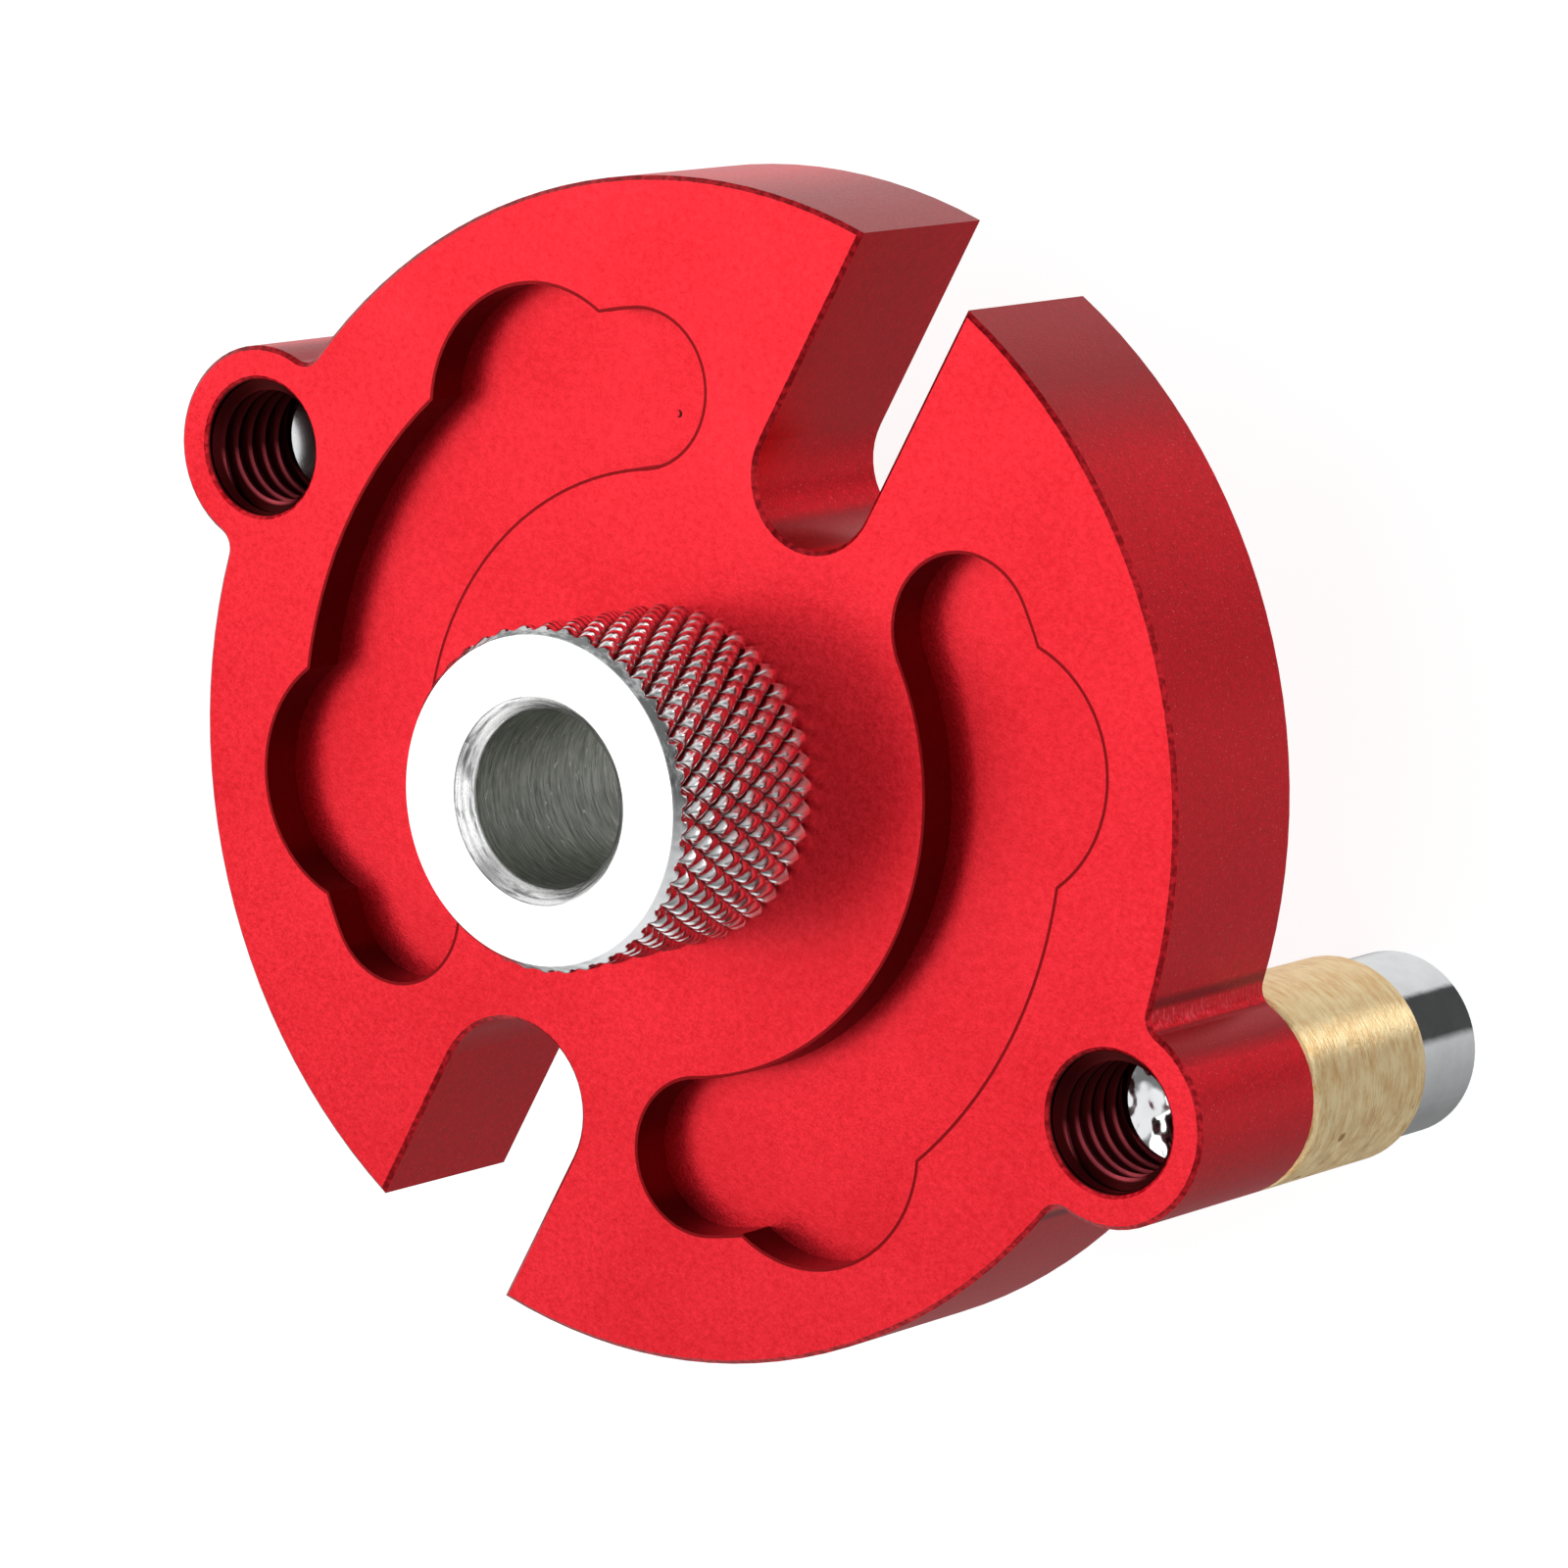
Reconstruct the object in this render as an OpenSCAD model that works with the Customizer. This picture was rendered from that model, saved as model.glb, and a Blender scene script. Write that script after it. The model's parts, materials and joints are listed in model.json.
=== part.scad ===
// Round self-centring dowel jig.
// Two posts with brass rollers straddle the edge of a board. The jig is twisted until
// both rollers touch the board, and the drill bush then stands over the board's middle.
// Two open slots fit over a dowel that is already set, and give the next hole its place.
// The drill axis is Z, the board touches the plate's back face at z = 0, the posts lie
// on the X axis and the narrow slot opens towards +Y.

/* [Plate] */
// Radius of the round plate
plate_r = 34; // [32:0.5:37]
// Thickness of the plate
plate_t = 12; // [10:0.5:15]
// Chamfer along the outline, the slots and the hole mouths
edge_break = 0.25; // [0.1:0.05:0.5]

/* [Lugs] */
// Distance from the drill axis to each post
post_offset = 34.2; // [33:0.1:38]
// Radius of the lug round each post
lug_r = 6; // [5.5:0.1:8]
// Radius of the blend where a lug meets the plate
lug_fillet = 1.2; // [0.6:0.1:3]

/* [Slots] */
// Width of the narrow slot
narrow_slot_w = 8; // [6:0.1:9]
// Distance from the drill axis to the centre of the narrow slot's round end
narrow_slot_reach = 20; // [18:0.5:24]
// Width of the wide slot
wide_slot_w = 10.2; // [9:0.1:11]
// Distance from the drill axis to the centre of the wide slot's round end
wide_slot_reach = 23.5; // [20:0.5:26]

/* [Pockets] */
// Radius of the pockets' middle line round the drill axis
pocket_mid_r = 22; // [21:0.25:23]
// Width of a pocket's channel
pocket_w = 9; // [7:0.25:10]
// Angle from the post's line to the centre of a pocket's round end
pocket_end_angle = 55; // [48:1:57]
// Radius of the round lobes that widen a pocket
lobe_r = 7.55; // [6:0.05:8.5]
// Angle from the post's line to the centre of a lobe
lobe_angle = 35.2; // [28:0.2:40]
// Depth of the pockets below the front face
pocket_depth = 2.65; // [1:0.05:5]

/* [Drill bush] */
// Diameter of the drill's bore
bore_d = 10; // [6, 8, 10]
// Depth of the countersink at the bore's mouth
bore_lead = 0.85; // [0.4:0.05:1.4]
// Thread diameter of the bush's shank
bush_thread_d = 16; // [14:0.5:17]
// Diameter of the head's plain band, where it meets the knurl
head_d = 19.4; // [18:0.2:22]
// Height of the head above the plate
head_h = 12.5; // [8:0.5:18]
// Height of the plain band at the head's free end
band_h = 0.9; // [0.8:0.1:3]
// How much the band's radius shrinks towards the free face
band_taper = 0.35; // [0.05:0.05:0.6]
// Chamfer round the head's free face
head_edge = 0.1; // [0.05:0.05:0.5]
// Thread relief under the head
bush_relief_h = 1.4; // [0.8:0.1:2.5]
// Lead-in chamfer at the shank's end
bush_lead = 0.9; // [0.4:0.1:1.5]

/* [Knurl] */
// Diamonds round the head
knurl_count = 42; // [30:1:60]
// Height of half a diamond
knurl_row_h = 1.25; // [0.9:0.05:2]
// Height of the diamonds' points above the plain band
knurl_rise = 0.1; // [0:0.05:0.4]
// Depth from the diamonds' points to the grooves between them
knurl_depth = 0.55; // [0.3:0.05:0.8]
// Height over which the grooves run out into the plain band
knurl_runout = 0.2; // [0.1:0.05:0.5]

/* [Posts] */
// Thread diameter of a post's stud
stud_d = 8; // [6:0.5:8]
// Depth to which the stud is screwed into the lug
stud_h = 5; // [4:0.25:9]
// Chamfer on the stud's end
stud_lead = 0.7; // [0.3:0.1:1.2]
// Thread relief where the stud meets the shoulder
stud_relief_h = 1; // [0.6:0.1:1.5]
// Diameter of the shoulder that the roller turns on
shoulder_d = 9; // [8.6:0.1:9.4]
// Length of the shoulder, from the plate to the head
shoulder_h = 12.5; // [8:0.5:20]
// Diameter of the post's head
post_head_d = 10.7; // [9.8:0.1:11.4]
// Length of the post's head
post_head_h = 6.5; // [4:0.25:8]
// Chamfer round the head's ends
post_head_edge = 0.35; // [0.1:0.05:0.8]
// Width across flats of the key socket in the head's end
key_w = 4; // [3, 4, 5]
// Depth of the key socket
key_depth = 3; // [2:0.25:3.5]

/* [Rollers] */
// Outer diameter of a roller
roller_d = 12; // [11.5:0.25:14]
// Rounding of a roller's outer corners
roller_round = 0.6; // [0.2:0.05:1]
// Gap at each end of a roller
roller_end_play = 0.1; // [0.05:0.05:0.3]

/* [Fits] */
// Radial clearance between a screwed-in shank and its hole
thread_fit = 0.05; // [0.02:0.01:0.1]
// Radial clearance between a roller and its shoulder
running_fit = 0.05; // [0.02:0.01:0.1]

/* [Hidden] */
$fn = 96;

// How far a cutting shape runs past the face that it cuts
past = 0.5;
// Share of a thread's diameter that is left at its root
thread_root = 0.86;
// How far an arc reaches into the arc that it runs on from, so that their walls cross
bite = 0.003;

front_z = plate_t;
bush_hole_r = bush_thread_d / 2;
stud_hole_r = stud_d / 2;

// Centre of the blend circle, which reaches into both the rim and the lug by bite
blend_to_axis = plate_r + lug_fillet - bite;
blend_to_post = lug_r + lug_fillet - bite;
blend_x = (blend_to_axis^2 - blend_to_post^2 + post_offset^2) / (2 * post_offset);
blend_y = sqrt(blend_to_axis^2 - blend_x^2);

pocket_inner_r = pocket_mid_r - pocket_w / 2;
pocket_outer_r = pocket_mid_r + pocket_w / 2;

band_r = head_d / 2;
crest_r = band_r + knurl_rise;
groove_r = crest_r - knurl_depth;
knurl_h = head_h - band_h;
knurl_rows = round(knurl_h / knurl_row_h);

shoulder_z = -shoulder_h;
post_end_z = shoulder_z - post_head_h;

module plate_colour() {
    color([0.85, 0.1, 0.13]) children();
}

module steel_colour() {
    color([0.78, 0.79, 0.8]) children();
}

module brass_colour() {
    color([0.83, 0.69, 0.42]) children();
}

// Cylinder from z = 0 up to h with both rims chamfered
module chamfered_disc(r, h, c) {
    rotate_extrude()
        polygon([[0, 0], [r - c, 0], [r, c], [r, h - c], [r - c, h], [0, h]]);
}

// Shape that cuts a through hole in the plate, with a chamfer of c at both mouths
module through_hole(r, c) {
    translate([0, 0, -past])
        cylinder(h = plate_t + 2 * past, r = r);
    for (flip = [0, 1])
        translate([0, 0, flip * plate_t])
            mirror([0, 0, flip])
                translate([0, 0, -past])
                    cylinder(h = past + c, r1 = r + c + past, r2 = r);
}

// Concave blend between the plate's rim and a lug, on the +X, +Y quarter
module lug_blend() {
    difference() {
        linear_extrude(plate_t)
            polygon([[0, 0], [post_offset, 0], [blend_x, blend_y]]);
        translate([blend_x, blend_y, 0])
            through_hole(lug_fillet, edge_break);
    }
}

// Solid plate with its lugs, before anything is cut
module plate_blank() {
    chamfered_disc(plate_r, plate_t, edge_break);
    for (side = [-1, 1])
        translate([side * post_offset, 0, 0])
            chamfered_disc(lug_r, plate_t, edge_break);
    for (flip_x = [0, 1], flip_y = [0, 1])
        mirror([flip_x, 0, 0])
            mirror([0, flip_y, 0])
                lug_blend();
}

// Open slot of width w towards +Y, with its round end centred at y = reach
module slot_cut(w, reach) {
    run = plate_r - reach + past;
    half = w / 2;
    wide = half + edge_break + past;
    translate([0, reach, 0])
        through_hole(half, edge_break);
    translate([0, reach + run, 0])
        rotate([90, 0, 0])
            linear_extrude(run)
                polygon([
                    [-wide, -past], [wide, -past], [half, edge_break],
                    [half, plate_t - edge_break], [wide, plate_t + past],
                    [-wide, plate_t + past], [-half, plate_t - edge_break], [-half, edge_break]
                ]);
}

// Outline of one pocket, round the +X post: a curved channel with two lobes
module pocket_outline() {
    far = 2 * pocket_outer_r;
    intersection() {
        difference() {
            circle(r = pocket_outer_r);
            circle(r = pocket_inner_r);
        }
        polygon([
            [0, 0],
            [far * cos(pocket_end_angle), -far * sin(pocket_end_angle)],
            [far, -far * sin(pocket_end_angle)],
            [far, far * sin(pocket_end_angle)],
            [far * cos(pocket_end_angle), far * sin(pocket_end_angle)]
        ]);
    }
    for (side = [-1, 1])
        rotate(side * pocket_end_angle)
            translate([pocket_mid_r, 0])
                circle(r = pocket_w / 2 + bite);
    difference() {
        for (side = [-1, 1])
            rotate(side * lobe_angle)
                translate([pocket_mid_r, 0])
                    circle(r = lobe_r);
        circle(r = pocket_inner_r);
    }
}

module jig_plate() {
    plate_colour()
        difference() {
            plate_blank();
            slot_cut(narrow_slot_w, narrow_slot_reach);
            rotate(180)
                slot_cut(wide_slot_w, wide_slot_reach);
            for (turn = [0, 180])
                rotate(turn)
                    translate([0, 0, front_z - pocket_depth])
                        linear_extrude(pocket_depth + past)
                            pocket_outline();
            through_hole(bush_hole_r, edge_break);
            for (side = [-1, 1])
                translate([side * post_offset, 0, 0])
                    through_hole(stud_hole_r, edge_break);
        }
}

// Point at radius r: turn counts diamonds round the head, z is above the plate
function head_point(r, turn, z) =
    let (a = 360 * turn / knurl_count)
    [r * cos(a), r * sin(a), front_z + z];

// Places of a groove crossing, and of a diamond's point, in the list of the head's points.
// Each row, and each plain ring above the rows, has one of both for every diamond.
function crossing(row, i) = row * 2 * knurl_count + i % knurl_count;
function crest(row, i) = crossing(row, i) + knurl_count;

// Half-diamonds that rise from a row to the row above it
function upper_facets(row) = [
    for (i = [0:knurl_count - 1])
        let (tip = crossing(row + 1, i + row % 2))
        each [
            [crossing(row, i), tip, crest(row, i)],
            [tip, crossing(row, i + 1), crest(row, i)]
        ]
];

// Half-diamonds that fall from a row to the row below it
function lower_facets(row) = [
    for (i = [0:knurl_count - 1])
        let (tip = crossing(row - 1, i + row % 2))
        each [
            [crossing(row, i + 1), tip, crest(row, i)],
            [tip, crossing(row, i), crest(row, i)]
        ]
];

// Wall from one ring to the next
function ring_facets(row) = [
    for (i = [0:knurl_count - 1])
        each [
            [crossing(row, i), crossing(row + 1, i), crest(row, i)],
            [crossing(row + 1, i), crest(row + 1, i), crest(row, i)],
            [crest(row, i), crest(row + 1, i), crossing(row + 1, i + 1)],
            [crest(row, i), crossing(row + 1, i + 1), crossing(row, i + 1)]
        ]
];

// Head with its diamond knurl: each diamond is a four-sided point between two sets of
// crossing grooves, which run out into the plain band at the free end
module knurled_head() {
    rows = knurl_rows;
    shift = [0, 0.5];
    knurl_points = [
        for (row = [0:rows])
            for (k = [0, 1], i = [0:knurl_count - 1])
                head_point(
                    k == 0 ? groove_r : crest_r, i + k / 2 + shift[row % 2],
                    row * knurl_h / rows
                )
    ];
    ring_points = [
        for (ring = [
            [band_r, knurl_h + knurl_runout],
            [band_r - band_taper, head_h - head_edge],
            [band_r - band_taper - head_edge, head_h]
        ])
            for (k = [0, 1], i = [0:knurl_count - 1])
                head_point(ring[0], i + k / 2 + shift[rows % 2], ring[1])
    ];
    base = [for (i = [0:knurl_count - 1]) each [crossing(0, i), crest(0, i)]];
    face = [
        for (i = [knurl_count - 1:-1:0])
            each [crest(rows + 3, i), crossing(rows + 3, i)]
    ];
    polyhedron(
        concat(knurl_points, ring_points),
        [
            for (row = [0:rows - 1]) each upper_facets(row),
            for (row = [1:rows]) each lower_facets(row),
            for (ring = [rows:rows + 2]) each ring_facets(ring),
            base,
            face
        ]
    );
}

// Screwed-in part of the bush, flush with the plate's back face
module bush_shank() {
    r = bush_hole_r - thread_fit;
    relief_r = r * thread_root;
    rotate_extrude()
        polygon([
            [0, 0], [r - bush_lead, 0], [r, bush_lead],
            [r, front_z - bush_relief_h], [relief_r, front_z - bush_relief_h + (r - relief_r) / 2],
            [relief_r, front_z + past], [0, front_z + past]
        ]);
}

module drill_bush() {
    bore_r = bore_d / 2;
    top_z = front_z + head_h;
    steel_colour()
        difference() {
            union() {
                knurled_head();
                bush_shank();
            }
            translate([0, 0, -past])
                cylinder(h = top_z + 2 * past, r = bore_r);
            translate([0, 0, top_z - bore_lead])
                cylinder(h = bore_lead + past, r1 = bore_r, r2 = bore_r + bore_lead + past);
        }
}

// Shoulder screw at the post's place: stud in the lug, shoulder for the roller, round head
module post(side) {
    r = stud_hole_r - thread_fit;
    relief_r = r * thread_root;
    shoulder_r = shoulder_d / 2;
    head_r = post_head_d / 2;
    steel_colour()
        translate([side * post_offset, 0, 0])
            difference() {
                rotate_extrude()
                    polygon([
                        [0, post_end_z], [head_r - post_head_edge, post_end_z],
                        [head_r, post_end_z + post_head_edge], [head_r, shoulder_z - post_head_edge],
                        [head_r - post_head_edge, shoulder_z], [shoulder_r, shoulder_z],
                        [shoulder_r, 0], [relief_r, 0],
                        [relief_r, stud_relief_h - (r - relief_r)], [r, stud_relief_h],
                        [r, stud_h - stud_lead], [r - stud_lead, stud_h], [0, stud_h]
                    ]);
                translate([0, 0, post_end_z - past])
                    cylinder(h = key_depth + past, r = key_w / 2 / cos(30), $fn = 6);
            }
}

module left_post() {
    post(-1);
}

module right_post() {
    post(1);
}

// Brass sleeve that turns on the post's shoulder
module roller(side) {
    inner_r = shoulder_d / 2 + running_fit;
    outer_r = roller_d / 2;
    length = shoulder_h - 2 * roller_end_play;
    brass_colour()
        translate([side * post_offset, 0, shoulder_z + roller_end_play])
            rotate_extrude()
                union() {
                    translate([inner_r, 0])
                        square([outer_r - roller_round - inner_r, length]);
                    translate([inner_r, roller_round])
                        square([outer_r - inner_r, length - 2 * roller_round]);
                    for (end = [roller_round, length - roller_round])
                        translate([outer_r - roller_round, end])
                            circle(r = roller_round);
                }
}

module left_roller() {
    roller(-1);
}

module right_roller() {
    roller(1);
}

jig_plate();
drill_bush();
left_post();
right_post();
left_roller();
right_roller();
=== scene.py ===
"""Looks of the round self-centring dowel jig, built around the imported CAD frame.

Everything is in metres in the row frame: the drill axis is Z, z = 0 is the plate's back face,
the posts lie on the X axis and the narrow slot opens towards +Y.
"""

import json
import math

import bpy
from mathutils import Matrix, Vector, noise


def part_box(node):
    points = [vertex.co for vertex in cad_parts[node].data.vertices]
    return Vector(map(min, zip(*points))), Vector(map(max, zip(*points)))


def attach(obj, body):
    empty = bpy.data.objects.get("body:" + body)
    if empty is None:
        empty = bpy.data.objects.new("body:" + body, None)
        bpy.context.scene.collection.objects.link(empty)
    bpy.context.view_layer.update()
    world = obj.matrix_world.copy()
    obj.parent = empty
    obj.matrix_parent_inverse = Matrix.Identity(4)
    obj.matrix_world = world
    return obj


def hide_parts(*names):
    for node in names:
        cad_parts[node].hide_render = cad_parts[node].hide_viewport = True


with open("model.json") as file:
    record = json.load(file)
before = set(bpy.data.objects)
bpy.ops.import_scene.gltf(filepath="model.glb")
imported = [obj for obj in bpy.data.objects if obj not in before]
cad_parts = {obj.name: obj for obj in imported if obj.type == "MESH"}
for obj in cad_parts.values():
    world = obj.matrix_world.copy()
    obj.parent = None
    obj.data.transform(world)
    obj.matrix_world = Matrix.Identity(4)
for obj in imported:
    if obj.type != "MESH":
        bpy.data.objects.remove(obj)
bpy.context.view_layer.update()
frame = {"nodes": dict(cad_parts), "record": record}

MM = 0.001
NODES = frame["nodes"]

# Sizes that the frame gives
PLATE_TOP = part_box("jig_plate")[1].z
BUSH_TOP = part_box("drill_bush")[1].z
KNURL_CREST_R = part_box("drill_bush")[1].x
FLOOR_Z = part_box("right_post")[0].z
POST_X = (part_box("right_roller")[0].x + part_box("right_roller")[1].x) / 2
MOUNTS = {m["name"]: m for m in frame["record"]["mounts"]}
BORE_R = MOUNTS["drill_guide_bore"]["dims"]["r_mm"] * MM
COUNTERSINK_Z = MOUNTS["drill_guide_bore"]["dims"]["length_mm"] * MM

# Sizes of the bush that the frame doesn't give, as in the solid. The knurl runs up under a
# cone round the free face.
FACE_R = 9.27 * MM
CONE_H = 0.72 * MM
BAND_H = 0.9 * MM
SHANK_R = 7.95 * MM
SHANK_LEAD = 0.9 * MM
RELIEF_H = 1.4 * MM
RELIEF_R = 6.84 * MM

# Knurl: its sizes, as in the solid, then mesh steps to half a diamond and rings of the band
KNURL_DEPTH = 0.56 * MM
KNURL_COUNT = 42
KNURL_ROWS = 9
KNURL_STEPS = 6
SEGMENTS = 2 * KNURL_STEPS * KNURL_COUNT
BAND_RINGS = 12
# Share of a full point's height at which the diamonds' tips are flat, how sharply their edges
# are rounded, and share by which the second set of grooves is shallower than the first
TIP_HEIGHT = 0.60
ROUNDING = 9.0
SHALLOW_GROOVE = 0.2
# Wear: size of its patches, share by which the grooves' depth varies and loss at the crests
WEAR_PATCH = 1.1 * MM
DEPTH_WEAR = 0.12
CREST_WEAR = 0.02 * MM
# Grooves fade out in the band down to a share of their depth, raggedly, as the cone's edge is
LEAST_FADE = 0.35
RAG_PATCH = 0.45 * MM
FADE_RAG = 0.12
CONE_RAG = 0.03 * MM
# Rings of the bush's mesh up the bore and over the face, bevel at the bore's lower end, and
# angle from which an edge of it is sharp
BORE_RINGS = 24
FACE_RINGS = 6
BORE_LEAD = 0.3 * MM
BUSH_SHARP = 35

# Threads: M16 x 1.5 on the bush, M8 x 1.25 in the lugs
BUSH_PITCH = 1.5 * MM
BUSH_HOLE_R = 8.0 * MM
LUG_PITCH = 1.25 * MM
LUG_HOLE_R = 4.0 * MM
STUD_TOP = 5.0 * MM
THREAD_SLOPE = math.tan(math.radians(30))
# Depths of an outer and an inner thread as shares of the pitch, and a ridge's depth in its wall
OUTER_DEPTH = 0.61
INNER_DEPTH = 0.54
SUNK = 0.04 * MM
# Heights between which each thread runs, and the share of a turn at which a lug's starts
BUSH_THREAD_Z = SHANK_LEAD, PLATE_TOP - RELIEF_H - 0.3 * MM
PLATE_THREAD_Z = SHANK_LEAD + BUSH_PITCH / 2, PLATE_TOP - 1.2 * MM
LUG_THREAD_Z = STUD_TOP - 0.4 * MM, PLATE_TOP - 0.55 * MM
LUG_THREAD_START = 0.44
# Mesh steps to a turn, share of a turn in which a thread runs out, share of its height that is
# left at the end, and angle from which an edge of it is sharp
THREAD_STEPS = 72
RUN_OUT = 0.33
END_HEIGHT = 0.02
THREAD_SHARP = 25

# Pockets, as in the solid: a curved channel with round ends and two lobes
POCKET_MID_R = 22 * MM
POCKET_W = 9 * MM
POCKET_END_ANGLE = math.radians(55)
LOBE_R = 7.55 * MM
LOBE_ANGLE = math.radians(35.2)

# Nick that the photo shows on the left pocket's floor: a disc less a disc beside it
NICK = (-11.10 * MM, 17.03 * MM, 9.35 * MM)
NICK_INNER = (-11.23 * MM, 16.97 * MM, 9.35 * MM)

# Pits that the photo shows on the right roller: place and radius
ROLLER_PITS = [
    ((40.19 * MM, 0.25 * MM, -3.89 * MM), 0.42 * MM),
    ((39.50 * MM, -2.82 * MM, -2.60 * MM), 0.38 * MM),
]

# Stud ends: slope of the dish at its rim, and depth of the torn marks on the right one
DISH_SLOPE = math.tan(math.radians(24))
TORN_DEPTH = 0.5 * MM

# Reds, from dark to bright where there are two
FACE_REDS = (0.61, 0.008, 0.016), (0.86, 0.026, 0.042)
WALL_REDS = (0.60, 0.002, 0.010), (0.84, 0.004, 0.018)
# Painted glints on the walls
WALL_GLINT = (1.0, 0.16, 0.20)
# Painted shade on walls that face +Y
WALL_SHADE_TOWARDS_Y = (0.14, 0.0, 0.002)
# Patchy painted shade on the bevels
BEVEL_SHADE = (0.16, 0.0, 0.002)
# Painted shade in a line round each pocket's edge
POCKET_EDGE_SHADE = (0.20, 0.0, 0.002)
# Painted shade on the pockets' walls
POCKET_WALL_SHADE = (0.04, 0.0, 0.001)
# Painted highlights in the cutter's marks beside each lug
CUTTER_MARK_HIGHLIGHT = (1.0, 0.09, 0.13)
# Painted shade in the crease where each lug's fillet ends
FILLET_CREASE_SHADE = (0.10, 0.0, 0.002)
NICK_RED = (0.06, 0.0, 0.001)
# Painted shade in the lug holes, also darkening their grazing reflections
HOLE_SHADE = (0.055, 0.0, 0.001)
HOLE_GLANCE = (0.16, 0.0, 0.003)
# Painted highlights on the lug threads' crests
CREST_HIGHLIGHT = (1.0, 0.14, 0.18)
WHITE = (1.0, 1.0, 1.0)

# Steel and brass, from dark to bright where there are two
POST_STEELS = (0.69, 0.70, 0.71), (0.79, 0.80, 0.81)
BUSH_STEELS = (0.80, 0.81, 0.82), (0.92, 0.93, 0.94)
BORE_STEELS = (0.30, 0.31, 0.28), (0.72, 0.73, 0.68)
SCRATCH = (1.0, 1.0, 0.97)
# Dark streaks on the cone's side towards +Y
CONE_STREAK = (0.26, 0.27, 0.27)
# Painted shade in the knurl's grooves
GROOVE_SHADE = (0.22, 0.16, 0.16)
BRASSES = (0.80, 0.47, 0.18), (1.00, 0.81, 0.47)
BRASS_PIT = (0.46, 0.25, 0.10)
# Grey rings turned into the countersink: radius in mm and level
MOUTH_RINGS = [
    (5.03, 0.50), (5.12, 1.00), (5.20, 0.75), (5.45, 0.92), (5.56, 0.55), (5.66, 1.00),
    (5.80, 0.95),
]

# Scales of the noises, in features to a metre: the anodising's, the steels' and the brass's
GRAIN, CLOUD, MOTTLE, SPECK, SHADE_PATCHES, CHATTER = 6200, 90, 2600, 8000, 2600, 5200
SMEAR, TORN, POST_LINES = 420, 290, 9000
BUSH_LINES, SCRATCHES, RING_MARKS, STREAKS = 6500, 1900, 3200, 900
FINE_LINES, COARSE_LINES, TARNISH, PITS = 7000, 2300, 700, 520

# A colour ramp runs from 0 to 1, so a length is divided by one of these before it. The short
# one is for edges that are sharper than the steps of a ramp over the long one.
RAMP_SPAN = 10 * MM
SHORT_SPAN = 1 * MM

# Camera, from the fit to the photograph
CAMERA_PLACE = (0.193224, 0.183505, 0.366684)
CAMERA_RIGHT = (0.710420, 0.402471, -0.577339)
CAMERA_UP = (-0.561449, 0.818749, -0.120106)
FOCAL_PIXELS = 7965.7
FRAME_PIXELS = 1600
SENSOR = 36.0
AXIS_PIXEL = (798.18, 805.32)

# Studio: floor and key lamp
FLOOR_HALF = 2.0
FLOOR_COLOUR = (0.36, 0.40, 0.40)
FLOOR_GLOW = 0.82
KEY_LAMP = {"azimuth": -172, "elevation": 55, "distance": 1.5, "side": 1.0, "radiance": 1.62}

# Brightness of the studio by azimuth from +X in degrees, under the horizon and round it, and
# overhead. The heights between which one gives way to the next are sines of the elevation.
LOW_RING = [
    (-180, 0.86), (-168, 0.84), (-152, 0.66), (-134, 0.22), (-70, 0.26), (-10, 0.42), (25, 0.58),
    (45, 0.66), (77, 0.76), (109, 0.82), (128, 0.86), (155, 0.88), (180, 0.86),
]
HIGH_RING = [
    (-180, 1.00), (-150, 1.15), (-40, 1.15), (0, 0.75), (22, 0.30), (42, 0.18), (57, 0.50),
    (97, 0.60), (130, 0.95), (180, 1.00),
]
TOP_LEVEL = 0.22
LOW_TO_HIGH = (-0.50, -0.15)
HIGH_TO_TOP = (0.40, 0.60)

# Cards and flags of the studio: azimuths and heights between which each fades in and out, and
# its level. The black flag shows in the polished post, the strip in the brass roller, the
# facing card in the bush's free face and the back card in the bore's countersink.
FLAG = (32, 42, 97, 104), (-0.89, -0.87, -0.75, -0.71), 0.07
STRIP = (56, 62, 76, 84), (-0.68, -0.64, -0.28, -0.20), 3.2
FACING = (-156, -148, -114, -102), (0.70, 0.74, 0.86, 0.90), 1.42
BACK = (-10, 5, 80, 95), (0.42, 0.50, 0.72, 0.78), 1.7
# Lamp overhead, which shows in the stud ends: heights between which it fades in, and its level
OVERHEAD = (0.93, 0.96), 1.1


def make_camera():
    data = bpy.data.cameras.new("camera")
    data.sensor_width = SENSOR
    data.lens = SENSOR * FOCAL_PIXELS / FRAME_PIXELS
    data.shift_x = (FRAME_PIXELS / 2 - AXIS_PIXEL[0]) / FRAME_PIXELS
    data.shift_y = (AXIS_PIXEL[1] - FRAME_PIXELS / 2) / FRAME_PIXELS
    data.clip_start = 0.01
    data.clip_end = 10.0
    right = Vector(CAMERA_RIGHT).normalized()
    back = right.cross(Vector(CAMERA_UP)).normalized()
    up = back.cross(right)
    turn = Matrix((right, up, back)).transposed().to_4x4()
    camera = bpy.data.objects.new("camera", data)
    camera.matrix_world = Matrix.Translation(CAMERA_PLACE) @ turn
    bpy.context.scene.collection.objects.link(camera)
    bpy.context.scene.camera = camera


# Shader building

def opaque(colour):
    """A grey level or a colour with full alpha. A socket stays as it is."""
    if isinstance(colour, (int, float)):
        colour = (colour, colour, colour)
    return (*colour, 1.0) if isinstance(colour, tuple) else colour


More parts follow.
